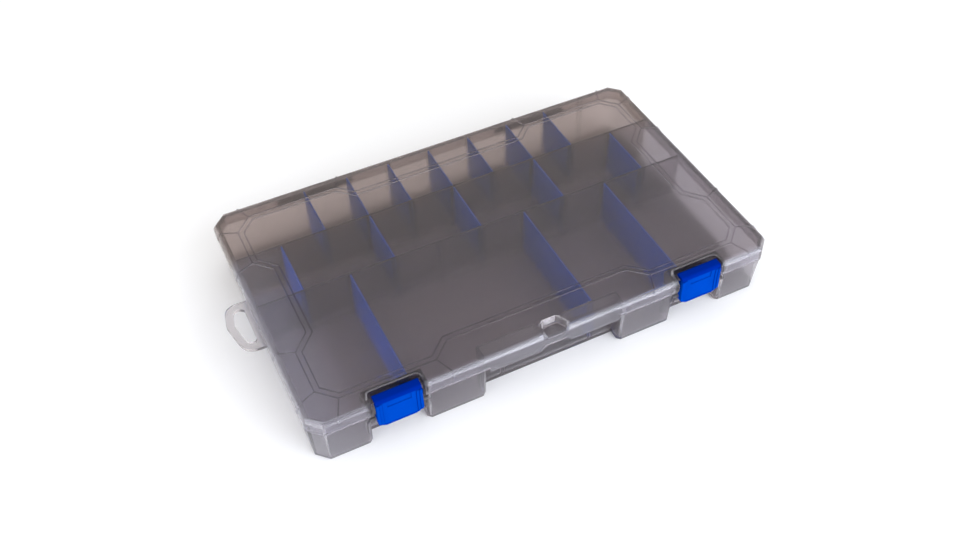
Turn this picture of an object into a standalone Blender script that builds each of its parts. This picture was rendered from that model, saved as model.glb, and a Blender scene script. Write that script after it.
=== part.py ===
"""Flat tackle box: translucent tray and lid, two snap latches, fifteen dividers, two hinge rods.

Frame: metres, +Z up, X along the width (left to right), the front faces -Y.
The origin is at the centre of the tray's underside.
"""

import bmesh
import bpy
from math import cos, pi, radians, sin
from mathutils import Vector

MM = 0.001

# Driving dimensions, in millimetres
WIDTH = 357.5
DEPTH = 218.0
HEIGHT = 44.0
RIM_Z = 32.3              # lower edge of the lid's skirt
SHEET = 1.6               # wall of lid and tray
GAP = 0.3                 # clearance between parts that touch on the real box

LID_CORNER = 9.6          # corner chamfer of the lid, seen from above
LID_EDGE = 2.5            # chamfer of the lid's top edge
LIP_DROP = 4.0            # pull lips reach this far below the rim
LIP_INNER = 8.0           # half the gap between the two lips
LIP_OUTER = 50.5          # outer end of each lip

TRAY_INSET_TOP = 1.2      # tray wall behind the lid's face, at the rim
TRAY_INSET_BOTTOM = 3.0   # and at the floor, after the draft
TRAY_CORNER = 8.2
UPPER_INSET = 2.2         # tray wall inside the lid
WALL_TOP_Z = RIM_Z + 9.0
FLOOR = 1.8

HALF_W = WIDTH / 2
HALF_D = DEPTH / 2
FRONT = -HALF_D

LATCH_X = 116.7           # centre of each latch
LATCH_WIDTH = 32.4
LATCH_RECESS = 20.0       # half the width of the tray's recess behind a latch
LATCH_CUTOUT = 18.8       # half the width of the lid's cut-out
CUTOUT_DEPTH = 11.2
CUTOUT_ROUND = 4.0
CENTRE_RECESS = 52.5      # half the width of the middle recess
RECESS_DEPTH = 12.6
CELL_FRONT = FRONT + 14.6  # inner face of the recessed front wall
BLOCK_ROUND = 2.6
PIVOT_Y = FRONT + 3.0
PIVOT_Z = RIM_Z - 6.8
AXLE_RADIUS = 1.6
AXLE_HOLE = 2.1

CELL_HALF_W = 173.6       # inside of the end walls
CELL_BACK = HALF_D - 4.6
PARTITION_BACK = 56.9     # middle of the wall between back and middle rows
PARTITION_FRONT = 7.0
PARTITION_HALF = 0.75
SLOT_PITCH = 35.0
SLOT_HALF = 0.95          # half the clear width between a pair of ribs
RIB_WIDTH = 1.2
RIB_DEPTH = 1.5
DIVIDER_THICKNESS = 1.2
DIVIDER_TOP_Z = WALL_TOP_Z - 0.1
SLOTS = range(-4, 5)
BACK_ROW = range(-3, 4)
MIDDLE_ROW = range(-4, 5, 2)
FRONT_ROW = (-3, 1, 3)

NOTCH_HALF = 10.1
NOTCH_BACK_HALF = 5.4
NOTCH_SIDE = 4.8
NOTCH_DEPTH = 13.0
NOTCH_FLOOR_Z = RIM_Z + 6.5

HINGE_Y = HALF_D + 3.5
HINGE_Z = RIM_Z - 1.0
HINGE_X = 95.0
KNUCKLE_RADIUS = 2.8
KNUCKLE_HOLE = 1.6
KNUCKLE_LENGTH = 12.0
KNUCKLE_GAP = 0.6
ROD_RADIUS = 1.2

LOOP_TOP_Z = RIM_Z - 0.8
LOOP_THICKNESS = 2.6

SMOKE = (0.30, 0.28, 0.27, 1.0)
BLUE = (0.0, 0.09, 0.66, 1.0)
STEEL = (0.55, 0.56, 0.58, 1.0)


def clear_scene():
    """Remove whatever the opened file holds."""
    for item in list(bpy.data.objects):
        bpy.data.objects.remove(item, do_unlink=True)


def material(name, colour, roughness, metallic):
    """A Principled material of one colour."""
    result = bpy.data.materials.new(name)
    result.use_nodes = True
    shader = result.node_tree.nodes["Principled BSDF"]
    shader.inputs["Base Color"].default_value = colour
    shader.inputs["Roughness"].default_value = roughness
    shader.inputs["Metallic"].default_value = metallic
    return result


def new_object(name, mesh_builder, finish, origin=(0, 0, 0)):
    """Link an object whose origin is at a point given in millimetres."""
    bmesh.ops.recalc_face_normals(mesh_builder, faces=mesh_builder.faces)
    shift = Vector(origin)
    for vert in mesh_builder.verts:
        vert.co = (vert.co - shift) * MM
    mesh = bpy.data.meshes.new(name)
    mesh_builder.to_mesh(mesh)
    mesh_builder.free()
    mesh.materials.append(finish)
    item = bpy.data.objects.new(name, mesh)
    item.location = shift * MM
    bpy.context.collection.objects.link(item)
    return item


def loft(sections):
    """Closed solid through outlines of equal point count, listed from the bottom up."""
    builder = bmesh.new()
    rings = []
    for outline, height in sections:
        rings.append([builder.verts.new((x, y, height)) for x, y in outline])
    count = len(rings[0])
    for low, high in zip(rings, rings[1:]):
        for index in range(count):
            after = (index + 1) % count
            builder.faces.new((low[index], low[after], high[after], high[index]))
    builder.faces.new(list(reversed(rings[0])))
    builder.faces.new(rings[-1])
    return builder


def prism(outline, low, high):
    """Straight-sided solid over an outline."""
    return loft([(outline, low), (outline, high)])


def box(low, high):
    """Solid between two opposite corners."""
    outline = [(low[0], low[1]), (high[0], low[1]), (high[0], high[1]), (low[0], high[1])]
    return prism(outline, low[2], high[2])


def profile_along_x(profile, x_low, x_high):
    """Solid of one (y, z) profile between two places along X."""
    builder = prism(profile, x_low, x_high)
    for vert in builder.verts:
        vert.co = Vector((vert.co.z, vert.co.x, vert.co.y))
    return builder


def circle(centre, radius, sides):
    """Points of a circle in a plane, starting half a step in."""
    turn = [2 * pi * (index + 0.5) / sides for index in range(sides)]
    return [(centre[0] + radius * cos(angle), centre[1] + radius * sin(angle)) for angle in turn]


def inset(outline, distance):
    """Move every edge of a counter-clockwise outline inward, keeping its corners mitred."""
    result = []
    count = len(outline)
    for index in range(count):
        before = Vector(outline[index - 1])
        here = Vector(outline[index])
        after = Vector(outline[(index + 1) % count])
        along_in = (here - before).normalized()
        along_out = (after - here).normalized()
        normal_in = Vector((-along_in.y, along_in.x))
        normal_out = Vector((-along_out.y, along_out.x))
        mitre = (normal_in + normal_out) / (1 + normal_in.dot(normal_out))
        result.append(tuple(here + mitre * distance))
    return result


def mirrored(points):
    """Points given from the left end to the middle, followed by their mirror image."""
    return points + [(-x, y) for x, y in reversed(points)]


def chamfered_rectangle(half_w, front, back, corner):
    """Counter-clockwise rectangle whose corners are cut."""
    return [
        (-half_w + corner, front), (half_w - corner, front),
        (half_w, front + corner), (half_w, back - corner),
        (half_w - corner, back), (-half_w + corner, back),
        (-half_w, back - corner), (-half_w, front + corner),
    ]


def tray_outline(edge, recess, latch_half, centre_half):
    """Outer plan of the tray: four blocks with three recesses between them along the front."""
    half_w = HALF_W - edge
    front = FRONT + edge
    back = HALF_D - edge
    corner = TRAY_CORNER
    step = BLOCK_ROUND
    left = -LATCH_X - latch_half
    right = -LATCH_X + latch_half
    front_line = mirrored([
        (-half_w + corner, front),
        (left - step, front), (left, front + step), (left, recess),
        (right, recess), (right, front + step), (right + step, front),
        (-centre_half - step, front), (-centre_half, front + step), (-centre_half, recess),
    ])
    return front_line + [
        (half_w, front + corner), (half_w, back - corner),
        (half_w - corner, back), (-half_w + corner, back),
        (-half_w, back - corner), (-half_w, front + corner),
    ]


def rib_steps(start, end, wall, depth, slots):
    """Run along a wall from start to end in x, stepping round a pair of ribs at each slot."""
    direction = 1 if end > start else -1
    places = sorted((slot * SLOT_PITCH for slot in slots), reverse=direction < 0)
    points = []
    for place in places:
        for side in (-direction, direction):
            inner = place + side * SLOT_HALF
            outer = place + side * (SLOT_HALF + RIB_WIDTH)
            first, second = (outer, inner) if side == -direction else (inner, outer)
            points += [(first, wall), (first, wall + depth), (second, wall + depth), (second, wall)]
    return points


def cell_row(front, back, slots):
    """Inside plan of a plain row, with ribs on both long walls."""
    return (
        [(-CELL_HALF_W, front)]
        + rib_steps(-CELL_HALF_W, CELL_HALF_W, front, RIB_DEPTH, slots)
        + [(CELL_HALF_W, front), (CELL_HALF_W, back)]
        + rib_steps(CELL_HALF_W, -CELL_HALF_W, back, -RIB_DEPTH, slots)
        + [(-CELL_HALF_W, back)]
    )


def back_cell_row():
    """Inside plan of the back row, whose back corners follow the tray's cut corners."""
    corner = TRAY_CORNER - SHEET
    plain = cell_row(PARTITION_BACK + PARTITION_HALF, CELL_BACK, SLOTS)
    right = plain.index((CELL_HALF_W, CELL_BACK))
    return (
        plain[:right]
        + [(CELL_HALF_W, CELL_BACK - corner), (CELL_HALF_W - corner, CELL_BACK)]
        + plain[right + 1:-1]
        + [(-CELL_HALF_W + corner, CELL_BACK), (-CELL_HALF_W, CELL_BACK - corner)]
    )


def front_cell_row():
    """Inside plan of the front row, which runs out into the four blocks."""
    pocket = FRONT + TRAY_INSET_BOTTOM + SHEET
    side = 1.9
    corner = TRAY_CORNER - SHEET
    latch_left = -LATCH_X - LATCH_RECESS - side
    latch_right = -LATCH_X + LATCH_RECESS + side
    centre = -CENTRE_RECESS - side
    back = PARTITION_FRONT - PARTITION_HALF
    left_part = (
        [(-CELL_HALF_W, pocket + corner), (-CELL_HALF_W + corner, pocket)]
        + [(latch_left, pocket), (latch_left, CELL_FRONT)]
        + rib_steps(latch_left, latch_right, CELL_FRONT, RIB_DEPTH, (-3,))
        + [(latch_right, CELL_FRONT), (latch_right, pocket), (centre, pocket), (centre, CELL_FRONT)]
        + rib_steps(centre, 0, CELL_FRONT, RIB_DEPTH, (-1,))
    )
    return (
        mirrored(left_part)
        + [(CELL_HALF_W, back)]
        + rib_steps(CELL_HALF_W, -CELL_HALF_W, back, -RIB_DEPTH, SLOTS)
        + [(-CELL_HALF_W, back)]
    )


def apply_boolean(item, tools, operation):
    """Join tools to, or cut them from, an object with the exact solver."""
    for tool in tools:
        tool.hide_render = True
        tool.display_type = "WIRE"
        modifier = item.modifiers.new(operation.title(), "BOOLEAN")
        modifier.operation = operation
        modifier.solver = "EXACT"
        modifier.object = tool


def tool_object(name, builder):
    """A hidden solid used only by a Boolean."""
    bmesh.ops.recalc_face_normals(builder, faces=builder.faces)
    for vert in builder.verts:
        vert.co = vert.co * MM
    mesh = bpy.data.meshes.new(name)
    builder.to_mesh(mesh)
    builder.free()
    item = bpy.data.objects.new(name, mesh)
    item.hide_render = True
    item.display_type = "WIRE"
    bpy.context.collection.objects.link(item)
    return item


def knuckle_places(first):
    """Left ends of every second knuckle of both hinges; first is 0 for the tray, 1 for the lid."""
    step = KNUCKLE_LENGTH + KNUCKLE_GAP
    total = 5 * KNUCKLE_LENGTH + 4 * KNUCKLE_GAP
    return [
        centre - total / 2 + index * step
        for centre in (-HINGE_X, HINGE_X)
        for index in range(first, 5, 2)
    ]


def knuckle_profile(start, stop, root_y, root_low, root_high):
    """A round knuckle drawn out towards the wall that carries it, in (y, z); angles in degrees."""
    steps = 10
    turn = [radians(start + (stop - start) * index / steps) for index in range(steps + 1)]
    arc = [(HINGE_Y + KNUCKLE_RADIUS * cos(a), HINGE_Z + KNUCKLE_RADIUS * sin(a)) for a in turn]
    return arc + [(root_y, root_high), (root_y, root_low)]


def make_tray(finish):
    """Tray: drafted outside, rim ledge, upper wall inside the lid, three rows, hanging loop."""
    recess = FRONT + RECESS_DEPTH
    upper_recess = recess + 0.6
    bottom = tray_outline(TRAY_INSET_BOTTOM, recess, LATCH_RECESS, CENTRE_RECESS)
    rim = tray_outline(TRAY_INSET_TOP, recess - 0.3, LATCH_RECESS - 0.3, CENTRE_RECESS - 0.3)
    upper = tray_outline(UPPER_INSET, upper_recess, LATCH_RECESS + 1.1, CENTRE_RECESS + 0.6)
    ledge_z = RIM_Z - GAP
    foot = 1.2
    tray = new_object("tray", loft([
        (inset(bottom, foot * 0.6), 0.0), (bottom, foot), (rim, ledge_z),
        (upper, ledge_z), (upper, WALL_TOP_Z),
    ]), finish)

    cutter_top = WALL_TOP_Z + 2
    middle_front = PARTITION_FRONT + PARTITION_HALF
    middle_back = PARTITION_BACK - PARTITION_HALF
    rows = [back_cell_row(), cell_row(middle_front, middle_back, SLOTS), front_cell_row()]
    cutters = [
        tool_object(f"cut_row_{index}", prism(outline, FLOOR, cutter_top))
        for index, outline in enumerate(rows)
    ]
    dip = box((-11, FRONT + 8, RIM_Z + 3.6), (11, CELL_FRONT + 0.6, cutter_top))
    cutters.append(tool_object("cut_notch_dip", dip))
    for side in (-1, 1):
        hole = circle((PIVOT_Y, PIVOT_Z), AXLE_HOLE, 16)
        low = side * LATCH_X - LATCH_RECESS - 3
        high = side * LATCH_X + LATCH_RECESS + 3
        cutters.append(tool_object(f"cut_axle_{side + 1}", profile_along_x(hole, low, high)))

    joined = [tool_object("join_loop", prism(loop_outline(), LOOP_TOP_Z - LOOP_THICKNESS, LOOP_TOP_Z))]
    wall = HALF_D - TRAY_INSET_TOP - 0.6
    profile = knuckle_profile(-150, 165, wall, ledge_z - 7.0, ledge_z - 0.3)
    joined += [
        tool_object(f"join_knuckle_{index}", profile_along_x(profile, place, place + KNUCKLE_LENGTH))
        for index, place in enumerate(knuckle_places(0))
    ]
    hole = prism(loop_hole(), LOOP_TOP_Z - LOOP_THICKNESS - 1, LOOP_TOP_Z + 1)
    cutters.append(tool_object("cut_loop_hole", hole))
    cutters += hinge_bores("tray")
    apply_boolean(tray, joined, "UNION")
    apply_boolean(tray, cutters, "DIFFERENCE")
    return tray


def hinge_bores(owner):
    """Cutters for the bores of both hinges."""
    half = 5 * (KNUCKLE_LENGTH + KNUCKLE_GAP) / 2
    hole = circle((HINGE_Y, HINGE_Z), KNUCKLE_HOLE, 12)
    return [
        tool_object(f"cut_bore_{owner}_{side + 1}",
                    profile_along_x(hole, side * HINGE_X - half, side * HINGE_X + half))
        for side in (-1, 1)
    ]


def loop_outline():
    """Outer edge of the hanging loop, running into the tray's left wall."""
    root = -HALF_W + 2.4
    return [
        (root, -20.0), (-HALF_W - 5.0, -20.0), (-HALF_W - 9.5, -19.0), (-HALF_W - 13.0, -16.5),
        (-HALF_W - 15.8, -11.0), (-HALF_W - 18.8, 5.0), (-HALF_W - 19.3, 8.0),
        (-HALF_W - 16.8, 21.0), (-HALF_W - 14.6, 24.6), (-HALF_W - 10.0, 26.8), (root, 26.8),
    ][::-1]


def loop_hole():
    """Opening of the hanging loop."""
    return [
        (-HALF_W - 4.6, -12.8), (-HALF_W - 3.2, -10.4), (-HALF_W - 3.2, 18.4), (-HALF_W - 6.4, 21.0),
        (-HALF_W - 9.6, 20.8), (-HALF_W - 11.0, 19.2), (-HALF_W - 13.8, 7.0), (-HALF_W - 10.4, -10.2),
        (-HALF_W - 8.4, -12.4),
    ]


def cutout_outline(centre, half, depth, corner):
    """Plan of a latch cut-out, open towards the front."""
    front = FRONT - 4
    back = FRONT + depth
    return [
        (centre - half, front), (centre + half, front), (centre + half, back - corner),
        (centre + half - 0.3 * corner, back - 0.3 * corner), (centre + half - corner, back),
        (centre - half + corner, back), (centre - half + 0.3 * corner, back - 0.3 * corner),
        (centre - half, back - corner),
    ]


def notch_outline(grow):
    """Plan of the pull notch, open towards the front."""
    half = NOTCH_HALF + grow
    back_half = NOTCH_BACK_HALF + grow * 0.6
    front = FRONT - 4 if grow == 0 else FRONT + 0.8
    side = FRONT + NOTCH_SIDE + grow * 0.3
    back = FRONT + NOTCH_DEPTH + grow
    return [(-half, front), (half, front), (half, side), (back_half, back), (-back_half, back), (-half, side)]


def make_lid(finish):
    """Lid: skirt, chamfered top edge, latch cut-outs with walls and catches, notch and pull lips."""
    outer = chamfered_rectangle(HALF_W, FRONT, HALF_D, LID_CORNER)
    inner = inset(outer, SHEET)
    ceiling = HEIGHT - SHEET
    lid = new_object("lid", loft([
        (outer, RIM_Z), (outer, HEIGHT - LID_EDGE), (inset(outer, LID_EDGE), HEIGHT),
    ]), finish, (0, HINGE_Y, HINGE_Z))

    cavity = tool_object("cut_cavity", loft([
        (inner, RIM_Z - 2), (inner, ceiling - 0.7), (inset(inner, 0.7), ceiling),
    ]))
    walls = []
    catches = []
    cutouts = []
    for side in (-1, 1):
        centre = side * LATCH_X
        around = cutout_outline(centre, LATCH_CUTOUT + SHEET, CUTOUT_DEPTH + SHEET, CUTOUT_ROUND + 1)
        around[0] = (around[0][0], FRONT + 0.4)
        around[1] = (around[1][0], FRONT + 0.4)
        walls.append(tool_object(f"join_cutout_{side + 1}", prism(around, RIM_Z, HEIGHT - 0.4)))
        hollow = cutout_outline(centre, LATCH_CUTOUT, CUTOUT_DEPTH, CUTOUT_ROUND)
        cutouts.append(tool_object(f"cut_cutout_{side + 1}", prism(hollow, RIM_Z - 1, HEIGHT + 1)))
        reach = LATCH_CUTOUT + 0.8
        catches.append(tool_object(f"join_catch_{side + 1}", box(
            (centre - reach, FRONT + 8.0, RIM_Z), (centre + reach, FRONT + CUTOUT_DEPTH + 0.6, RIM_Z + 3.4),
        )))

    notch_wall = tool_object("join_notch", prism(
        notch_outline(SHEET), NOTCH_FLOOR_Z - SHEET, HEIGHT - 0.4))
    notch_cut = tool_object("cut_notch", prism(notch_outline(0), NOTCH_FLOOR_Z, HEIGHT + 1))
    lips = []
    for side in (-1, 1):
        near = side * LIP_INNER
        far = side * LIP_OUTER
        slope = side * LIP_DROP
        lip = [(near, 1.0), (near, 0.0), (near + slope, -LIP_DROP), (far, -LIP_DROP), (far, 1.0)]
        builder = prism(lip, FRONT, FRONT + SHEET)
        for vert in builder.verts:
            vert.co = Vector((vert.co.x, vert.co.z, RIM_Z + vert.co.y))
        lips.append(tool_object(f"join_lip_{side + 1}", builder))

    root = HALF_D - 0.6
    profile = knuckle_profile(-100, 150, root, RIM_Z, RIM_Z + 6.0)
    knuckles = [
        tool_object(f"join_lid_knuckle_{index}", profile_along_x(profile, place, place + KNUCKLE_LENGTH))
        for index, place in enumerate(knuckle_places(1))
    ]
    apply_boolean(lid, [cavity], "DIFFERENCE")
    apply_boolean(lid, walls + [notch_wall], "UNION")
    apply_boolean(lid, cutouts + [notch_cut], "DIFFERENCE")
    apply_boolean(lid, catches + lips + knuckles, "UNION")
    apply_boolean(lid, hinge_bores("lid"), "DIFFERENCE")
    return lid


def make_divider(name, x, back, front, finish):
    """Flat drop-in plate standing between two walls."""
    half = DIVIDER_THICKNESS / 2
    low = (x - half, front + GAP, FLOOR + GAP)
    high = (x + half, back - GAP, DIVIDER_TOP_Z)
    return new_object(name, box(low, high), finish, (x, (front + back) / 2, FLOOR + GAP))


def make_dividers(finish):
    """The three rows of dividers, numbered from the left."""
    rows = (
        ("back", BACK_ROW, CELL_BACK, PARTITION_BACK + PARTITION_HALF),
        ("middle", MIDDLE_ROW, PARTITION_BACK - PARTITION_HALF, PARTITION_FRONT + PARTITION_HALF),
        ("front", FRONT_ROW, PARTITION_FRONT - PARTITION_HALF, CELL_FRONT),
    )
    for row, slots, back, front in rows:
        for number, slot in enumerate(slots, start=1):
            make_divider(f"divider_{row}_{number}", slot * SLOT_PITCH, back, front, finish)


def latch_profile():
    """Section of a latch in (y, z): front face, rolled top, hook, and the barrel at its foot."""
    face = [
        (-1.0, -13.0), (-0.5, -9.0), (-0.1, -2.0), (-0.1, 6.0), (-0.4, 9.6), (0.0, 11.2), (1.2, 12.2),
        (6.4, 12.2), (6.9, 11.4), (6.9, 10.0), (3.4, 9.8), (2.2, 8.8), (1.9, 7.0),
        (4.6, 6.4), (4.8, 5.6), (1.9, 4.6), (1.9, -3.6), (3.0, -4.4), (4.6, -5.2), (5.4, -6.8),
        (4.6, -8.4), (3.0, -9.2), (1.4, -10.2), (0.9, -13.0),
    ]
    return [(FRONT + y, RIM_Z + z) for y, z in reversed(face)]


def make_latch(name, centre, finish):
    """Latch: swept section, cut foot corners, side ears and stub axles, turning about its axles."""
    half = LATCH_WIDTH / 2
    pivot = (centre, PIVOT_Y, PIVOT_Z)
    latch = new_object(name, profile_along_x(latch_profile(), centre - half, centre + half), finish, pivot)
    ear = circle((PIVOT_Y, PIVOT_Z), 3.0, 16)
    axle = circle((PIVOT_Y, PIVOT_Z), AXLE_RADIUS, 16)
    ears = tool_object(f"join_ear_{name}", profile_along_x(ear, centre - half - 2.4, centre + half + 2.4))
    reach = LATCH_RECESS + 1.0
    axles = tool_object(f"join_axle_{name}", profile_along_x(axle, centre - reach, centre + reach))
    foot = RIM_Z - 13.0
    corners = []
    for side in (-1, 1):
        tip = centre + side * (half + 1)
        outline = [(tip, foot - 1), (tip, foot + 4.2), (tip - side * 1.0, foot + 3.5),
                   (tip - side * 6.0, foot), (tip - side * 6.0, foot - 1)]
        builder = prism(outline, FRONT - 3, FRONT + 8)
        for vert in builder.verts:
            vert.co = Vector((vert.co.x, vert.co.z, vert.co.y))
        corners.append(tool_object(f"cut_corner_{name}_{side + 1}", builder))
    apply_boolean(latch, [ears, axles], "UNION")
    apply_boolean(latch, corners, "DIFFERENCE")
    return latch


def make_hinge_rod(name, centre, finish):
    """Steel rod through the knuckles of one hinge."""
    half = (5 * KNUCKLE_LENGTH + 4 * KNUCKLE_GAP) / 2
    section = circle((HINGE_Y, HINGE_Z), ROD_RADIUS, 12)
    builder = profile_along_x(section, centre - half, centre + half)
    rod = new_object(name, builder, finish, (centre, HINGE_Y, HINGE_Z))
    rod.data.shade_smooth()
    rod.data.set_sharp_from_angle(angle=radians(50))
    return rod


def main():
    """Build the whole box."""
    clear_scene()
    smoke = material("smoke_polypropylene", SMOKE, 0.35, 0.0)
    blue = material("blue_plastic", BLUE, 0.3, 0.0)
    steel = material("hinge_steel", STEEL, 0.3, 1.0)
    make_tray(smoke)
    make_lid(smoke)
    make_dividers(blue)
    make_latch("latch_left", -LATCH_X, blue)
    make_latch("latch_right", LATCH_X, blue)
    make_hinge_rod("hinge_rod_left", -HINGE_X, steel)
    make_hinge_rod("hinge_rod_right", HINGE_X, steel)


main()
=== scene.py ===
"""Studio model of a flat fishing tackle box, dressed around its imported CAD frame.

Frame: metres, +Z up, X along the width, the front faces -Y, and the origin is at the
centre of the tray's underside. Sizes in the classes are in millimetres.
"""

import logging
import math
from dataclasses import dataclass, field
from enum import Enum
from typing import Any, Callable, Sequence

import bmesh
import bpy
from mathutils import Matrix, Vector


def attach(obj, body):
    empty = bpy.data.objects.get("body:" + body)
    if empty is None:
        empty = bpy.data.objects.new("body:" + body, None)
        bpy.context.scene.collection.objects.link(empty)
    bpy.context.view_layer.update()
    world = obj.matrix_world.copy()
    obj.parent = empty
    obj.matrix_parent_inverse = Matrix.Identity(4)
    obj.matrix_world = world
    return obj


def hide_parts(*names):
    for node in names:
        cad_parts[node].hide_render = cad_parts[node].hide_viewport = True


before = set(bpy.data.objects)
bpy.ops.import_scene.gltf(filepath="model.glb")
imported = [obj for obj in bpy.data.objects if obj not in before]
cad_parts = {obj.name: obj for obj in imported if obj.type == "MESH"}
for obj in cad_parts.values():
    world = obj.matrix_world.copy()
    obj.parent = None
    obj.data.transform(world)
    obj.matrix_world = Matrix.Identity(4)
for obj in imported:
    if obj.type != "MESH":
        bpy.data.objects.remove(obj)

logging.basicConfig(level=logging.INFO, format="%(name)s: %(message)s")
LOG = logging.getLogger("tackle_box")

MM = 0.001
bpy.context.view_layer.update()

Colour = tuple[float, float, float, float]
Outline = list[tuple[float, float]]
Test = Callable[[Vector, Vector], bool]


class Operation(Enum):
    """The Math node operations that shader expressions use."""

    ADD = "ADD"
    SUBTRACT = "SUBTRACT"
    MULTIPLY = "MULTIPLY"
    MAXIMUM = "MAXIMUM"
    ABSOLUTE = "ABSOLUTE"


class Axis(Enum):
    """The direction in which a drawn outline is extruded."""

    X = "x"
    Y = "y"
    Z = "z"


class Grasp(Enum):
    """What the edit-mode tools take hold of."""

    CORNERS = 0
    EDGES = 1
    FACES = 2


class Joinery(Enum):
    """How a tool solid meets the piece."""

    ADD = "UNION"
    CUT = "DIFFERENCE"


class Moulding(Enum):
    """Which of the two mouldings carries a knuckle."""

    TRAY = "tray"
    LID = "lid"


class Value:
    """A number that varies over a surface, so that shader maths reads as plain maths."""

    def __init__(self, recipe: "Recipe", socket: bpy.types.NodeSocket) -> None:
        """Wrap one output socket of a recipe's node tree."""
        self.recipe = recipe
        self.socket = socket

    def _join(self, operation: Operation, first: Any, second: Any) -> "Value":
        """Add one Math node.

        Args:
            operation: What the node does.
            first: Its first operand, a Value or a number.
            second: Its second operand, a Value or a number.

        Returns:
            The node's result.
        """
        node = self.recipe.node("ShaderNodeMath", {"operation": operation.value}, {0: first, 1: second})
        return Value(self.recipe, node.outputs[0])

    def __add__(self, other: Any) -> "Value":
        """Sum."""
        return self._join(Operation.ADD, self, other)

    def __radd__(self, other: Any) -> "Value":
        """Sum, with the number first."""
        return self._join(Operation.ADD, other, self)

    def __sub__(self, other: Any) -> "Value":
        """Difference."""
        return self._join(Operation.SUBTRACT, self, other)

    def __rsub__(self, other: Any) -> "Value":
        """Difference, with the number first."""
        return self._join(Operation.SUBTRACT, other, self)

    def __mul__(self, other: Any) -> "Value":
        """Product."""
        return self._join(Operation.MULTIPLY, self, other)

    def __abs__(self) -> "Value":
        """Size without its sign."""
        return self._join(Operation.ABSOLUTE, self, 0.0)

    def at_least(self, other: Any) -> "Value":
        """The larger of this and another."""
        return self._join(Operation.MAXIMUM, self, other)

    def fade(self, low: float, high: float) -> "Value":
        """Fade smoothly from 0 at low to 1 at high.

        Args:
            low: Where the fade starts.
            high: Where it ends, which may be below low.

        Returns:
            The faded value.
        """
        node = self.recipe.node(
            "ShaderNodeMapRange", {"interpolation_type": "SMOOTHSTEP", "clamp": True},
            {"Value": self, "From Min": low, "From Max": high, "To Min": 0.0, "To Max": 1.0},
        )
        return Value(self.recipe, node.outputs[0])


class Recipe:
    """A material under construction: its node tree and the calls that add to it."""

    def __init__(self, name: str) -> None:
        """Start an empty material with only its output and its shader.

        Args:
            name: The material's name.
        """
        self.material = bpy.data.materials.new(name)
        self.material.use_nodes = True
        self.tree = self.material.node_tree
        self.shader = self.tree.nodes["Principled BSDF"]
        self.point = self.node("ShaderNodeTexCoord", {}, {}).outputs["Object"]
        split = self.node("ShaderNodeSeparateXYZ", {}, {0: self.point})
        self.across, self.inward, self.height = (Value(self, output) for output in split.outputs)

    def node(self, kind: str, settings: dict[str, Any], inputs: dict[Any, Any]) -> bpy.types.Node:
        """Add a node.

        Args:
            kind: The node's type.
            settings: Properties that are set before any socket.
            inputs: Values, sockets or Values for its input sockets, by name or index.

        Returns:
            The new node.
        """
        node = self.tree.nodes.new(kind)
        for key, value in settings.items():
            setattr(node, key, value)
        for key, value in inputs.items():
            self.feed(node.inputs[key], value)
        return node

    def feed(self, socket: bpy.types.NodeSocket, value: Any) -> None:
        """Link a socket to a Value or another socket, or set its constant.

        Args:
            socket: The input socket.
            value: What it takes.
        """
        source = value.socket if isinstance(value, Value) else value
        if isinstance(source, bpy.types.NodeSocket):
            self.tree.links.new(source, socket)
        else:
            socket.default_value = source

    def stretched(self, scale: tuple[float, float, float]) -> bpy.types.NodeSocket:
        """Object coordinates scaled unevenly, for streaks and drawn marks."""
        return self.node("ShaderNodeMapping", {}, {"Vector": self.point, "Scale": scale}).outputs[0]

    def noise(self, scale: float, detail: float, vector: bpy.types.NodeSocket | None = None) -> Value:
        """Cloudy noise between 0 and 1.

        Args:
            scale: Cells per metre.
            detail: Octaves above the first.
            vector: Coordinates to use instead of the plain object ones.

        Returns:
            The noise value.
        """
        node = self.node(
            "ShaderNodeTexNoise", {"noise_dimensions": "3D"},
            {"Vector": vector or self.point, "Scale": scale, "Detail": detail, "Roughness": 0.55},
        )
        return Value(self, node.outputs["Fac"])

    def blend(self, amount: Value, first: Any, second: Any) -> bpy.types.NodeSocket:
        """Mix two colours.

        Args:
            amount: 0 gives the first, 1 the second.
            first: A colour or a colour socket.
            second: A colour or a colour socket.

        Returns:
            The mixed colour's socket.
        """
        node = self.node(
            "ShaderNodeMix", {"data_type": "RGBA", "blend_type": "MIX", "clamp_factor": True},
            {0: amount, 6: first, 7: second},
        )
        return node.outputs[2]

    def bump(self, height: Value, distance: float, strength: float) -> None:
        """Feed the shader's normal from a height in units of distance, in metres."""
        inputs = {"Strength": strength, "Distance": distance, "Height": height}
        self.feed(self.shader.inputs["Normal"], self.node("ShaderNodeBump", {}, inputs).outputs[0])

    def finish(self, **sockets: Any) -> bpy.types.Material:
        """Feed the shader's sockets, named with underscores for spaces.

        Args:
            **sockets: Constants, or Values where a socket may vary.

        Returns:
            The finished material.
        """
        for key, value in sockets.items():
            self.feed(self.shader.inputs[key.replace("_", " ")], value)
        return self.material


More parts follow.
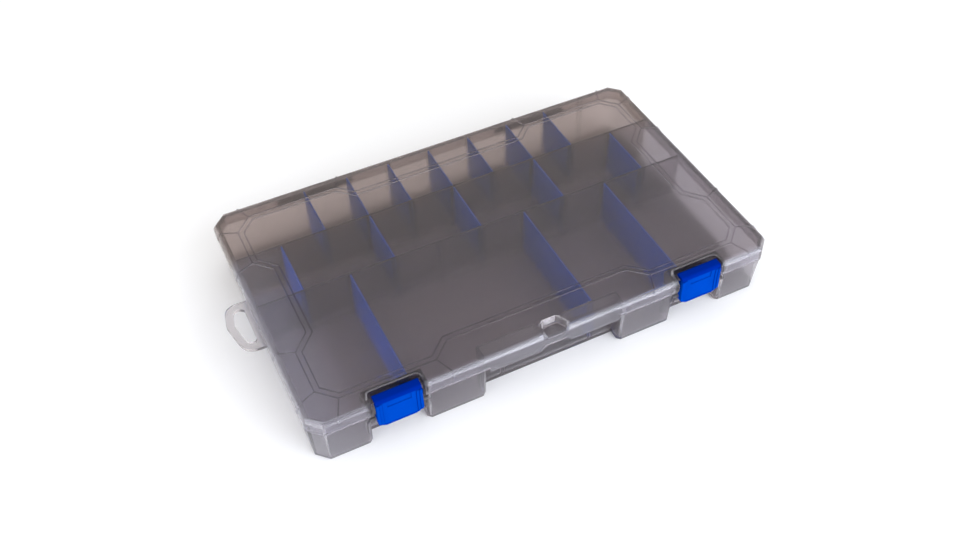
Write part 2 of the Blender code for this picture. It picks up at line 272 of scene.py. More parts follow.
@dataclass(frozen=True)
class SmokePlastic:
    """Translucent smoke-grey polypropylene, clouded by its flow.

    Painted light makes it paler where one wall stands alone and on the loop, and warmer over the back row.
    Painted shade darkens it on the beads and in the recesses. The places of those fades are in metres
    from the box's origin.
    """

    name: str
    tint: Colour = (0.66, 0.61, 0.605, 1.0)
    deep: Colour = (0.62, 0.585, 0.635, 1.0)
    # Painted light: the paler, cooler colour on the front, the left end and, faintly, the back.
    painted_light: Colour = (0.72, 0.70, 0.74, 1.0)
    # Painted light: the warmer tone of light from behind, over the back row.
    warm_back_light: Colour = (0.645, 0.575, 0.55, 1.0)
    # Painted shade: the colour of the shadow mask and of the beads.
    line: Colour = (0.36, 0.34, 0.36, 1.0)
    # Painted light: the paler colour of the hanging loop.
    pale: Colour = (0.80, 0.77, 0.78, 1.0)
    clearness: float = 0.96
    gloss: float = 0.22
    index: float = 1.3
    latch_x: float = 0.1167
    bead_foot: float = 0.0441
    loop_x: float = 0.1795

    def make(self) -> bpy.types.Material:
        """Build the material.

        Returns:
            The finished material.
        """
        recipe = Recipe(self.name)
        cloud = recipe.noise(18.0, 3.0)
        flow = recipe.noise(9.0, 4.0, recipe.stretched((1.0, 4.0, 1.0)))
        recipe.bump(flow, 0.0004, 0.2)
        # Painted light: warmer over the back row, paler on the front, the left end and the back.
        back_row_light = recipe.inward.fade(0.045, 0.062)
        body = recipe.blend(cloud * 0.6 + flow * 0.4, self.tint, self.deep)
        body = recipe.blend(self.painted_light_mask(recipe, back_row_light), recipe.blend(back_row_light, body, self.warm_back_light), self.painted_light)
        # Painted shade from the shadow mask.
        body = recipe.blend(self.shadow(recipe), body, self.line)
        # Painted shade on the beads.
        raised = recipe.height.fade(self.bead_foot, self.bead_foot + 0.0003)
        # Painted light on the hanging loop.
        loop = (0.0 - recipe.across).fade(self.loop_x, self.loop_x + 0.003)
        return recipe.finish(
            Base_Color=recipe.blend(loop, recipe.blend(raised, body, self.line), self.pale),
            Roughness=self.gloss + (flow - 0.5) * 0.04,
            Transmission_Weight=self.clearness, IOR=self.index,
        )

    def painted_light_mask(self, recipe: Recipe, back_row_light: Value) -> Value:
        """Painted light, paler where light crosses one wall: the front, the left end and, faintly, the back.

        Args:
            recipe: The material under construction.
            back_row_light: 1 over the back row, where the left end keeps the warmer painted back light.

        Returns:
            1 where it is palest, 0 over the rows.
        """
        front = (0.0 - recipe.inward).fade(0.1035, 0.1075)
        left = (0.0 - recipe.across).fade(0.128, 0.168)
        back = recipe.inward.fade(0.097, 0.106)
        return front.at_least(left * (1.0 - back_row_light)).at_least(back * 0.2)

    def shadow(self, recipe: Recipe) -> Value:
        """Where the plastic looks dark: behind the latches, in the recess, at the right end and the hinges.

        Args:
            recipe: The material under construction.

        Returns:
            1 where it is darkest.
        """
        beside = abs(abs(recipe.across) - self.latch_x).fade(0.0218, 0.0203)
        bay = beside * recipe.inward.fade(-0.0945, -0.0965) * recipe.height.fade(0.034, 0.036)
        recess = abs(recipe.across).fade(0.0545, 0.052) * recipe.inward.fade(-0.0935, -0.0945)
        recess = recess * recipe.inward.fade(-0.104, -0.102)
        end = recipe.across.fade(0.166, 0.177) * 0.4
        knuckle = recipe.inward.fade(0.1088, 0.1098)
        below_rim = recipe.height.fade(0.0325, 0.0315)
        return bay.at_least((knuckle * 0.7).at_least((recess * 0.75).at_least(end) * below_rim))


@dataclass(frozen=True)
class BluePlastic:
    """Blue polypropylene with a fine grain, opaque or partly clear."""

    name: str
    tint: Colour
    worn: Colour
    clearness: float
    gloss: float
    sheen: float = 0.5

    def make(self) -> bpy.types.Material:
        """Build the material.

        Returns:
            The finished material.
        """
        recipe = Recipe(self.name)
        cloud = recipe.noise(60.0, 3.0)
        grain = recipe.noise(3000.0, 2.0)
        recipe.bump(grain, 0.00004, 0.3)
        return recipe.finish(
            Base_Color=self.shade(recipe, recipe.blend(cloud.fade(0.35, 0.7), self.tint, self.worn)),
            Roughness=self.gloss + (cloud - 0.5) * 0.12,
            Transmission_Weight=self.clearness, Specular_IOR_Level=self.sheen, IOR=1.49,
        )

    def shade(self, recipe: Recipe, body: bpy.types.NodeSocket) -> bpy.types.NodeSocket:
        """Leave the body colour as it is."""
        return body


@dataclass(frozen=True)
class LatchPlastic(BluePlastic):
    """Latch blue, painted shade on the roll and grooves, axles painted dark grey as shade; places in metres.
    """

    # Painted shade on the roll and in the grooves, and darker at the foot.
    dark: Colour = (0.0, 0.014, 0.20, 1.0)
    # The stub axles, painted dark grey to read as the shaded tray wall.
    grey: Colour = (0.10, 0.095, 0.10, 1.0)
    latch_x: float = 0.1167
    grooves: tuple[float, float] = (0.01195, 0.01410)

    def shade(self, recipe: Recipe, body: bpy.types.NodeSocket) -> bpy.types.NodeSocket:
        """Paint shade on the roll and grooves, darken the foot, and paint the axles dark grey as shade.

        Args:
            recipe: The material under construction.
            body: The plain colour.

        Returns:
            The shaded colour.
        """
        beside = abs(abs(recipe.across) - self.latch_x)
        # Painted shade on the roll and in the two grooves, and darker at the foot.
        roll = recipe.height.fade(0.0405, 0.0425)
        inner, outer = (abs(beside - place).fade(0.00035, 0.0001) for place in self.grooves)
        low = recipe.height.fade(0.0212, 0.0205)
        deep = roll.at_least(inner.at_least(outer) * 0.6).at_least(low * 0.5)
        # The axles beyond the latch's sides are painted dark grey, as shade.
        return recipe.blend(beside.fade(0.0163, 0.0167), recipe.blend(deep, body, self.dark), self.grey)


@dataclass(frozen=True)
class SteelWire:
    """Drawn steel wire, with fine marks along its length."""

    name: str = "drawn_steel"

    def make(self) -> bpy.types.Material:
        """Build the material.

        Returns:
            The finished material.
        """
        recipe = Recipe(self.name)
        drawn = recipe.noise(900.0, 3.0, recipe.stretched((0.04, 1.0, 1.0)))
        dull = recipe.noise(70.0, 2.0)
        recipe.bump(drawn, 0.00003, 0.4)
        return recipe.finish(
            Base_Color=recipe.blend(drawn, (0.50, 0.51, 0.53, 1.0), (0.66, 0.67, 0.69, 1.0)),
            Roughness=0.22 + drawn * 0.12 + dull * 0.1,
            Metallic=1.0,
        )


def inset_outline(outline: Outline, distance: float) -> Outline:
    """Move every edge of a counter-clockwise outline inward, keeping its corners mitred.

    Args:
        outline: The corners.
        distance: How far each edge moves; below 0 it moves outward.

    Returns:
        The moved corners.
    """
    result = []
    for index, corner in enumerate(outline):
        here = Vector(corner)
        along_in = (here - Vector(outline[index - 1])).normalized()
        along_out = (Vector(outline[(index + 1) % len(outline)]) - here).normalized()
        normal_in = Vector((-along_in.y, along_in.x))
        normal_out = Vector((-along_out.y, along_out.x))
        mitre = (normal_in + normal_out) / (1 + normal_in.dot(normal_out))
        result.append(tuple(here + mitre * distance))
    return result


def mirrored(points: Outline) -> Outline:
    """Points given for one half of an outline, followed by their mirror image."""
    return points + [(-x, y) for x, y in reversed(points)]


class Bench:
    """The modelling bench: primitives and edit-mode tools, used as by hand, in millimetres."""

    TURNS = {
        Axis.X: Matrix(((0, 0, 1, 0), (1, 0, 0, 0), (0, 1, 0, 0), (0, 0, 0, 1))),
        Axis.Y: Matrix(((1, 0, 0, 0), (0, 0, -1, 0), (0, 1, 0, 0), (0, 0, 0, 1))),
        Axis.Z: Matrix.Identity(4),
    }
    # Corners nearer than this, in metres, are one. Ribs and walls cross at larger distances.
    MERGE = 0.000005

    def fresh(self) -> None:
        """Leave edit mode and select nothing, ready for a new primitive."""
        if bpy.context.mode != "OBJECT":
            bpy.ops.object.mode_set(mode="OBJECT")
        bpy.ops.object.select_all(action="DESELECT")

    def alone(self, item: bpy.types.Object) -> None:
        """Leave edit mode and select one object only.

        Args:
            item: The object.
        """
        self.fresh()
        item.select_set(True)
        bpy.context.view_layer.objects.active = item

    def named(self, name: str) -> bpy.types.Object:
        """Name the active object and put its place and size in its mesh.

        Args:
            name: The new name.

        Returns:
            The object.
        """
        item = bpy.context.active_object
        item.name = name
        item.data.name = name
        bpy.ops.object.transform_apply(location=True, rotation=True, scale=True)
        return item

    def block(self, name: str, low: Sequence[float], high: Sequence[float]) -> bpy.types.Object:
        """Add a cube between two opposite corners.

        Args:
            name: The object's name.
            low: The lowest corner.
            high: The highest corner.

        Returns:
            The new object.
        """
        self.fresh()
        middle = (Vector(low) + Vector(high)) * MM / 2
        size = (Vector(high) - Vector(low)) * MM
        bpy.ops.mesh.primitive_cube_add(size=1.0, location=middle, scale=size)
        return self.named(name)

    def drum(
        self, name: str, centre: tuple[float, float], radius: float,
        span: tuple[float, float], sides: int, axis: Axis,
    ) -> bpy.types.Object:
        """Add a cylinder.

        Args:
            name: The object's name.
            centre: Its centre in the plane across the axis, as for an outline.
            radius: Its radius.
            span: Where it starts and ends along the axis.
            sides: How many sides it has.
            axis: The direction of its length.

        Returns:
            The new object.
        """
        self.fresh()
        low, high = span if axis is not Axis.Y else (-span[1], -span[0])
        bpy.ops.mesh.primitive_cylinder_add(
            vertices=sides, radius=radius * MM, depth=(high - low) * MM,
            location=Vector((*centre, (low + high) / 2)) * MM,
        )
        item = self.named(name)
        item.matrix_world = self.TURNS[axis]
        bpy.ops.object.transform_apply(location=True, rotation=True, scale=True)
        return item

    def plate(
        self, name: str, outline: Outline, low: float, high: float, axis: Axis = Axis.Z,
    ) -> bpy.types.Object:
        """Add a solid with a drawn outline.

        Args:
            name: The object's name.
            outline: Its corners, counter-clockwise: (x, y), or (y, z) along X, or (x, z) along Y.
            low: Where it starts along the axis.
            high: Where it ends.
            axis: The direction of its thickness.

        Returns:
            The new object.
        """
        if axis is Axis.Y:
            low, high = -high, -low
        item = self.loft(name, [(outline, low), (outline, high)])
        item.matrix_world = self.TURNS[axis]
        bpy.ops.object.transform_apply(location=True, rotation=True, scale=True)
        return item

    def loft(self, name: str, sections: list[tuple[Outline, float]]) -> bpy.types.Object:
        """Draw an outline corner by corner and pull it up through further outlines.

        Args:
            name: The object's name.
            sections: Outlines of equal point count and their heights, from the bottom up.

        Returns:
            The new object.
        """
        self.fresh()
        outline, height = sections[0]
        count = len(outline)
        bpy.ops.mesh.primitive_circle_add(vertices=count, radius=MM, fill_type="NGON")
        item = self.named(name)
        bpy.ops.object.mode_set(mode="EDIT")
        bpy.context.tool_settings.mesh_select_mode = (True, False, False)
        for index, (x, y) in enumerate(outline):
            self.drag(item, index, Vector((x, y, height)) * MM)
        bpy.ops.mesh.select_all(action="SELECT")
        for outline_above, height_above in sections[1:]:
            rise = (height_above - height) * MM
            bpy.ops.mesh.extrude_region_move(TRANSFORM_OT_translate={"value": (0.0, 0.0, rise)})
            if outline_above is not outline:
                self.redraw(item, outline, outline_above, height_above)
            outline, height = outline_above, height_above
        bpy.ops.mesh.select_all(action="SELECT")
        bpy.ops.mesh.normals_make_consistent(inside=False)
        bpy.ops.object.mode_set(mode="OBJECT")
        return item

    def redraw(self, item: bpy.types.Object, before: Outline, after: Outline, height: float) -> None:
        """Drag the selected corners from one outline to the next, and select them again.

        Args:
            item: The object in edit mode.
            before: The outline that the corners lie on.
            after: The outline that they go to.
            height: Their height.
        """
        view = bmesh.from_edit_mesh(item.data)
        chosen = [vert for vert in view.verts if vert.select]
        pairs = []
        for vert in chosen:
            flat = Vector((vert.co.x, vert.co.y)) / MM
            nearest = min(range(len(before)), key=lambda place: (Vector(before[place]) - flat).length)
            pairs.append((vert.index, nearest))
        for index, nearest in pairs:
            self.drag(item, index, Vector((*after[nearest], height)) * MM)
        view = bmesh.from_edit_mesh(item.data)
        view.verts.ensure_lookup_table()
        for index, nearest in pairs:
            view.verts[index].select_set(True)
        view.select_flush_mode()
        bmesh.update_edit_mesh(item.data)

    def drag(self, item: bpy.types.Object, index: int, goal: Vector) -> None:
        """Pull one corner to a point.

        Args:
            item: The object in edit mode.
            index: The corner's index.
            goal: The point, in metres.
        """
        bpy.ops.mesh.select_all(action="DESELECT")
        view = bmesh.from_edit_mesh(item.data)
        view.verts.ensure_lookup_table()
        corner = view.verts[index]
        corner.select_set(True)
        step = goal - corner.co
        bmesh.update_edit_mesh(item.data)
        bpy.ops.transform.translate(value=step)

    def pick(self, item: bpy.types.Object, grasp: Grasp, test: Test) -> None:
        """Select parts of a mesh by place and direction, and stay in edit mode.

        Args:
            item: The object.
            grasp: What is selected.
            test: Takes a part's middle, in millimetres, and its normal, or an edge's direction.

        Raises:
            ValueError: Nothing passes the test.
        """
        self.alone(item)
        bpy.ops.object.mode_set(mode="EDIT")
        bpy.context.tool_settings.mesh_select_mode = tuple(grasp is kind for kind in Grasp)
        bpy.ops.mesh.select_all(action="DESELECT")
        view = bmesh.from_edit_mesh(item.data)
        if grasp is Grasp.CORNERS:
            parts = [(vert, vert.co, vert.normal) for vert in view.verts]
        elif grasp is Grasp.EDGES:
            parts = [
                (edge, (edge.verts[0].co + edge.verts[1].co) / 2,
                 (edge.verts[1].co - edge.verts[0].co).normalized())
                for edge in view.edges
            ]
        else:
            parts = [(face, face.calc_center_median(), face.normal) for face in view.faces]
        chosen = [part for part, middle, facing in parts if test(middle / MM, facing)]
        if not chosen:
            raise ValueError(f"nothing to select on {item.name}")
        for part in chosen:
            part.select_set(True)
        bmesh.update_edit_mesh(item.data)

    def bevel(self, width: float, segments: int) -> None:
        """Bevel the selected edges.

        Args:
            width: How far the bevel reaches from each edge.
            segments: How many strips it has.
        """
        bpy.ops.mesh.bevel(
            offset=width * MM, offset_type="OFFSET", segments=segments, profile=0.5,
            affect="EDGES", clamp_overlap=True,
        )

    def inset(self, width: float) -> None:
        """Inset the selected faces as one region."""
        bpy.ops.mesh.inset(thickness=width * MM, use_even_offset=True)

    def extrude(self, x: float, y: float, z: float) -> None:
        """Extrude the selected faces as one region."""
        bpy.ops.mesh.extrude_region_move(TRANSFORM_OT_translate={"value": Vector((x, y, z)) * MM})

    def combine(self, item: bpy.types.Object, tools: Sequence[bpy.types.Object], how: Joinery) -> None:
        """Add tool solids to a piece, or cut them from it, and clear the tools away.

        Args:
            item: The piece.
            tools: Closed solids.
            how: Whether they add or cut.
        """
        for tool in tools:
            modifier = item.modifiers.new(how.value.title(), "BOOLEAN")
            modifier.operation = how.value
            modifier.solver = "MANIFOLD"
            modifier.object = tool
            self.alone(item)
            bpy.ops.object.modifier_apply(modifier=modifier.name)
            bpy.data.objects.remove(tool, do_unlink=True)

    def gather(self, items: Sequence[bpy.types.Object]) -> bpy.types.Object:
        """Join objects that don't touch into one.

        Args:
            items: The objects.

        Returns:
            The first object, which holds them all.
        """
        self.alone(items[0])
        for item in items[1:]:
            item.select_set(True)
        bpy.ops.object.join()
        return items[0]

    def copy(self, item: bpy.types.Object, name: str, x: float, y: float, z: float) -> bpy.types.Object:
        """Copy an object with its own mesh to another place.

        Args:
            item: The object.
            name: The copy's name.
            x: How far it moves along X.
            y: How far it moves along Y.
            z: How far it moves along Z.

        Returns:
            The copy.
        """
        self.alone(item)
        bpy.ops.object.duplicate_move(TRANSFORM_OT_translate={"value": Vector((x, y, z)) * MM})
        return self.named(name)

    def polish(self, item: bpy.types.Object, angle: float = 28.0) -> None:
        """Merge doubles, face every face outwards and smooth the shallow edges.

        Args:
            item: The finished piece.
            angle: Edges up to this many degrees are smoothed.
        """
        self.pick(item, Grasp.CORNERS, lambda place, facing: True)
        bpy.ops.mesh.remove_doubles(threshold=self.MERGE)
        bpy.ops.mesh.normals_make_consistent(inside=False)
        bpy.ops.object.mode_set(mode="OBJECT")
        self.alone(item)
        bpy.ops.object.shade_smooth_by_angle(angle=math.radians(angle))


BENCH = Bench()


class SubAssembly:
    """What the sub-assemblies share: how a finished piece is dressed and takes its place."""

    def dress(
        self, piece: bpy.types.Object, body: str, node: str, slot: str, material: bpy.types.Material,
    ) -> bpy.types.Object:
        """Dress a finished piece and put it in its CAD node's place.

        Args:
            piece: The finished piece.
            body: The body it moves with.
            node: The CAD node it stands for.
            slot: The record's material slot; not used.
            material: Its material.

        Returns:
            The dressed piece.
        """
        piece.data.materials.clear()
        piece.data.materials.append(material)
        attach(piece, body)
        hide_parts(node)
        return piece


@dataclass
class Hinge(SubAssembly):
    """Both back hinges: interleaved knuckles round a steel rod each."""

    x: float = 95.0
    y: float = 112.5
    z: float = 31.3
    radius: float = 2.8
    bore: float = 1.6
    length: float = 12.0
    gap: float = 0.6
    knuckle_count: int = 5
    rod_radius: float = 1.2
    lid_root: float = 108.4
    tray_root: float = 107.2

    def half_span(self) -> float:
        """Half the length of one hinge, over all its knuckles."""
        return (self.knuckle_count * self.length + (self.knuckle_count - 1) * self.gap) / 2

    def profile(self, start: float, stop: float, root: float, low: float, high: float) -> Outline:
        """A round knuckle drawn out to the wall that carries it, in (y, z).

        Args:
            start: Where the arc starts, in degrees.
            stop: Where it ends.
            root: The wall's place in Y.
            low: The web's foot.
            high: The web's head.

        Returns:
            The outline.
        """
        steps = 20
        arc = []
        for index in range(steps + 1):
            turn = math.radians(start + (stop - start) * index / steps)
            arc.append((self.y + self.radius * math.cos(turn), self.z + self.radius * math.sin(turn)))
        return arc + [(root, high), (root, low)]

    def knuckles(self, owner: Moulding) -> list[bpy.types.Object]:
        """Model the knuckles of the tray or the lid, which take turns along each rod.

        Args:
            owner: The moulding that carries them.

        Returns:
            The knuckles of both hinges.
        """
        if owner is Moulding.TRAY:
            first = 0
            outline = self.profile(-150.0, 165.0, self.tray_root, 25.0, 31.7)
        else:
            first = 1
            outline = self.profile(-100.0, 150.0, self.lid_root, 32.3, 38.3)
        pitch = self.length + self.gap
        start = -self.x - self.half_span() + first * pitch
        model = BENCH.plate(f"{owner.value}_knuckle", outline, start, start + self.length, Axis.X)
        BENCH.pick(model, Grasp.EDGES, lambda place, facing: abs(facing.x) < 0.1 and place.y > self.y)
        BENCH.bevel(0.25, 1)
        bpy.ops.object.mode_set(mode="OBJECT")
        shifts = [
            side + index * pitch
            for side in (0.0, 2 * self.x)
            for index in range(0, self.knuckle_count - first, 2)
        ]
        copies = [
            BENCH.copy(model, f"{owner.value}_knuckle_{index}", shift, 0.0, 0.0)
            for index, shift in enumerate(shifts[1:])
        ]
        return [model, *copies]

    def bores(self, owner: Moulding) -> list[bpy.types.Object]:
        """Model the cutters for both bores.

        Args:
            owner: The moulding that they are cut from.

        Returns:
            The cutters.
        """
        reach = self.half_span() + self.gap / 2
        return [
            BENCH.drum(
                f"{owner.value}_bore_{side + 1}", (self.y, self.z), self.bore,
                (side * self.x - reach, side * self.x + reach), 24, Axis.X,
            )
            for side in (-1, 1)
        ]

    def rods(self) -> list[bpy.types.Object]:
        """Model both rods, their ends rounded.

        Returns:
            The left rod and the right one.
        """
        span = (-self.x - self.half_span(), -self.x + self.half_span())
        left = BENCH.drum("left_hinge_rod", (self.y, self.z), self.rod_radius, span, 32, Axis.X)
        BENCH.pick(left, Grasp.EDGES, lambda place, facing: abs(facing.x) < 0.1)
        BENCH.bevel(0.45, 3)
        BENCH.polish(left)
        right = BENCH.copy(left, "right_hinge_rod", 2 * self.x, 0.0, 0.0)
        return [left, right]

    def install(self, material: bpy.types.Material) -> list[bpy.types.Object]:
        """Model and dress both rods.

        Args:
            material: Their material.

        Returns:
            The dressed rods.
        """
        return [
            self.dress(rod, "tray", f"hinge_rod_{side}", "hinge_steel", material)
            for rod, side in zip(self.rods(), ("left", "right"))
        ]


@dataclass
class Lid(SubAssembly):
    """The lid: shell, latch cut-outs with catches, pull notch and lips, beads, ribs and hinge knuckles."""

    half_width: float = 178.75
    half_depth: float = 109.0
    rim: float = 32.3
    top: float = 44.0
    wall: float = 1.6
    corner: float = 9.6
    edge: float = 2.5
    edge_drop: float = 4.2
    latch_x: float = 116.7
    cutout_half: float = 18.8
    cutout_depth: float = 11.2
    cutout_round: float = 4.0
    notch_mouth: float = 7.2
    notch_half: float = 9.9
    notch_depth: float = 12.3
    notch_floor: float = 6.5
    overrun: float = 4.0
    lip_inner: float = 8.0
    lip_outer: float = 50.5
    lip_drop: float = 4.0
    bead_width: float = 1.0
    bead_height: float = 0.6
    bead_gap: float = 3.0
    rib_width: float = 0.9
    hinge: Hinge = field(default_factory=Hinge)

    def shell(self, walls: Sequence[bpy.types.Object]) -> bpy.types.Object:
        """Model the hollow shell, its upper edge chamfered steeply, with eight-sided plan.

        Args:
            walls: Solids that stay filled inside the shell.

        Returns:
            The shell.
        """
        half_w, half_d, cut = self.half_width, self.half_depth, self.corner
        outline = mirrored([
            (-half_w, half_d - cut), (-half_w, -half_d + cut), (-half_w + cut, -half_d),
        ]) + [(half_w - cut, half_d), (-half_w + cut, half_d)]
        foot = self.top - self.edge_drop
        crown = inset_outline(outline, self.edge)
        lid = BENCH.loft("lid_shell", [(outline, self.rim), (outline, foot), (crown, self.top)])
        BENCH.pick(lid, Grasp.EDGES, lambda place, facing: place.z > foot - 0.1 and abs(facing.z) < 0.1)
        BENCH.bevel(0.3, 2)
        bpy.ops.object.mode_set(mode="OBJECT")
        inner = inset_outline(outline, self.wall)
        narrow = inset_outline(outline, self.wall + 0.8)
        ceiling = self.top - self.wall
        cavity = BENCH.loft(
            "lid_cavity", [(inner, self.rim - 1.0), (inner, ceiling - 1.5), (narrow, ceiling)],
        )
        BENCH.combine(cavity, walls, Joinery.CUT)
        BENCH.combine(lid, [cavity], Joinery.CUT)
        return lid

    def cutout(self, name: str, centre: float, grow: float, low: float, high: float) -> bpy.types.Object:
        """Model the solid that walls or clears one latch cut-out.

        Args:
            name: Its name.
            centre: The latch's place along X.
            grow: How much larger it is than the opening.
            low: Its foot.
            high: Its head.

        Returns:
            The solid.
        """
        front = -self.half_depth - self.overrun
        back = -self.half_depth + self.cutout_depth + grow
        half = self.cutout_half + grow
        solid = BENCH.block(name, (centre - half, front, low), (centre + half, back, high))
        BENCH.pick(solid, Grasp.EDGES, lambda place, facing: abs(facing.z) > 0.9 and place.y > back - 0.1)
        BENCH.bevel(self.cutout_round + 0.6 * grow, 5)
        return solid

    def notch_outline(self, grow: float) -> Outline:
        """Plan of the pull notch at the top, open towards the front.

        Args:
            grow: How much larger it is than the opening.

        Returns:
            The outline.
        """
        face = -self.half_depth
        left_side = [
            (-self.notch_mouth - grow, face - self.overrun), (-self.notch_mouth - grow, face),
            (-self.notch_half - grow, face + 4.7), (-6.8 - grow, face + 10.9 + grow * 0.5),
            (-4.6 - grow * 0.4, face + self.notch_depth + grow),
        ]
        return mirrored(left_side)[::-1]

    def notch_foot(self) -> Outline:
        """Plan of the pull notch at the foot of its sloping facets.

        Returns:
            The outline.
        """
        face = -self.half_depth
        left_side = [
            (-self.notch_mouth + 0.3, face - self.overrun), (-self.notch_mouth + 0.3, face),
            (-8.4, face + 4.0), (-5.6, face + 9.4), (-4.3, face + 10.2),
        ]
        return mirrored(left_side)[::-1]

    def lip(self, side: int) -> bpy.types.Object:
        """Model one pull lip below the skirt.

        Args:
            side: -1 on the left and 1 on the right.

        Returns:
            The lip.
        """
        near = side * self.lip_inner
        far = side * self.lip_outer
        low = self.rim - self.lip_drop
        points = [
            (near, self.rim + 1.0), (near, self.rim), (near + side * self.lip_drop, low),
            (far, low), (far, self.rim + 1.0),
        ]
        front = -self.half_depth
        lip = BENCH.plate(f"lid_lip_{side + 1}", points, front, front + self.wall, Axis.Y)
        BENCH.pick(lip, Grasp.EDGES, lambda place, facing: place.z < low + 0.1 and abs(facing.x) > 0.9)
        BENCH.bevel(0.35, 2)
        return lip

    def panel_outline(self) -> Outline:
        """Outer edge of the panel that the beads draw on the top, stepped in along every side.

        Returns:
            The outline.
        """
        right_side = [
            (70.0, -82.0), (83.0, -94.0), (152.0, -94.0), (164.2, -82.0), (164.2, -45.5), (152.0, -32.0),
            (152.0, 34.5), (164.2, 47.0), (164.2, 82.0), (152.0, 95.0), (82.0, 95.0), (70.5, 84.0),
        ]
        return mirrored(right_side)

    def panel_beads(self) -> bpy.types.Object:
        """Model the two parallel beads round the panel, on one sunken plate.

        Returns:
            The plate with its beads.
        """
        outline = inset_outline(self.panel_outline(), -self.bead_width / 2)
        seat = self.top - 0.25
        beads = BENCH.plate("lid_beads", outline, seat - 0.6, seat)
        BENCH.pick(beads, Grasp.FACES, lambda place, facing: facing.z > 0.9)
        BENCH.inset(self.bead_width)
        BENCH.inset(self.bead_gap)
        BENCH.inset(self.bead_width)
        middles = (self.bead_width / 2, self.bead_width * 1.5 + self.bead_gap)
        BENCH.pick(beads, Grasp.FACES, lambda place, facing: facing.z > 0.9
                   and self.at_depth(outline, place, middles))
        BENCH.extrude(0.0, 0.0, self.bead_height + 0.25)
        inner = self.bead_width + self.bead_gap
        sides = (0.0, self.bead_width, inner, inner + self.bead_width)
        BENCH.pick(beads, Grasp.EDGES, lambda place, facing: place.z > self.top + self.bead_height - 0.02
                   and self.at_depth(outline, place, sides))
        BENCH.bevel(0.28, 2)
        bpy.ops.object.mode_set(mode="OBJECT")
        return beads

    def at_depth(self, outline: Outline, place: Vector, depths: Sequence[float]) -> bool:
        """Whether a place lies at one of some distances inside an outline.

        Args:
            outline: The outline.
            place: The place, whose height doesn't count.
            depths: The distances.

        Returns:
            True if it lies at one of them.
        """
        spot = place.to_2d()
        depth = math.inf
        for index, corner in enumerate(outline):
            start = Vector(outline[index - 1])
            along = Vector(corner) - start
            share = max(0.0, min(1.0, (spot - start).dot(along) / along.length_squared))
            depth = min(depth, (spot - start - along * share).length)
        return any(abs(depth - wanted) < 0.05 for wanted in depths)

    def rib(self, name: str, start: Vector, finish: Vector) -> bpy.types.Object:
        """Model one rib from the panel over the top edge and down the skirt.

        Args:
            name: Its name.
            start: Its inner end in plan.
            finish: Where it meets the lid's face in plan.

        Returns:
            The rib.
        """
        length = (finish - start).length
        proud = self.bead_height
        foot = self.top - self.edge_drop
        profile = [
            (0.0, self.top - 0.8), (length - self.edge - 0.2, self.top - 0.8),
            (length - 0.5, foot - 0.4), (length - 0.5, foot - 2.6), (length, foot - 2.6),
            (length + proud, foot - 2.0), (length + proud, foot + 0.3),
            (length - self.edge + 0.2, self.top + proud), (0.0, self.top + proud),
        ]
        rib = BENCH.plate(name, profile, -self.rib_width / 2, self.rib_width / 2, Axis.Y)
        BENCH.pick(rib, Grasp.EDGES, lambda place, facing: abs(facing.y) < 0.1
                   and (place.z > self.top + proud - 0.05 or place.x > length + 0.05
                        or (place.z > foot and place.x > length - self.edge - 0.1)))
        BENCH.bevel(0.2, 1)
        BENCH.alone(rib)
        turn = Matrix.Rotation(math.atan2(finish.y - start.y, finish.x - start.x), 4, "Z")
        rib.matrix_world = Matrix.Translation((*(start * MM), 0.0)) @ turn
        bpy.ops.object.transform_apply(location=True, rotation=True, scale=True)
        return rib

    def ribs(self) -> list[bpy.types.Object]:
        """Model the ribs that run out from the panel's corners, one at each outer corner.

        Returns:
            The ribs.
        """
        outline = self.panel_outline()
        moved = inset_outline(outline, -1.0)
        ribs = []
        for index, corner in enumerate(outline):
            here = Vector(corner)
            out = (Vector(moved[index]) - here).normalized()
            before = here - Vector(outline[index - 1])
            after = Vector(outline[(index + 1) % len(outline)]) - here
            if before.cross(after) < 0.0:
                continue
            reach = min(
                (self.half_width - abs(here.x)) / max(abs(out.x), 0.001),
                (self.half_depth - abs(here.y)) / max(abs(out.y), 0.001),
            )
            ribs.append(self.rib(f"lid_rib_{index}", here + out * 0.2, here + out * reach))
        return ribs

    def build(self) -> bpy.types.Object:
        """Model the whole lid.

        Returns:
            The finished lid.
        """
        face = -self.half_depth
        walls = []
        holes = []
        catches = []
        for side in (-1, 1):
            centre = side * self.latch_x
            walls.append(self.cutout(f"lid_wall_{side + 1}", centre, self.wall, self.rim, self.top - 0.4))
            holes.append(self.cutout(f"lid_hole_{side + 1}", centre, 0.0, self.rim - 1.0, self.top + 1.0))
            reach = self.cutout_half + 0.8
            lip = face + 8.0
            catches.append(BENCH.block(
                f"lid_catch_{side + 1}", (centre - reach, lip, self.rim),
                (centre + reach, face + self.cutout_depth + 0.6, self.rim + 3.4),
            ))
            BENCH.pick(catches[-1], Grasp.EDGES, lambda place, facing: abs(facing.x) > 0.9
                       and place.y < lip + 0.1)
            BENCH.bevel(0.5, 2)
        floor = self.rim + self.notch_floor
        grown = self.notch_outline(self.wall)
        walls.append(BENCH.plate("lid_notch_wall", grown, floor - self.wall, self.top - 0.4))
        notch = self.notch_outline(0.0)
        foot = self.notch_foot()
        holes.append(BENCH.loft("lid_notch", [
            (foot, floor), (foot, self.top - 3.3), (notch, self.top), (notch, self.top + 2.0),
        ]))
        lid = self.shell(walls)
        BENCH.combine(lid, [self.panel_beads(), *self.ribs()], Joinery.ADD)
        BENCH.combine(lid, holes, Joinery.CUT)
        ring = BENCH.drum("lid_ring", (0.0, face + 6.6), 2.3, (floor - 0.4, floor + 0.25), 24, Axis.Z)
        eye = BENCH.drum("lid_ring_eye", (0.0, face + 6.6), 1.6, (floor, floor + 1.0), 24, Axis.Z)
        BENCH.combine(ring, [eye], Joinery.CUT)
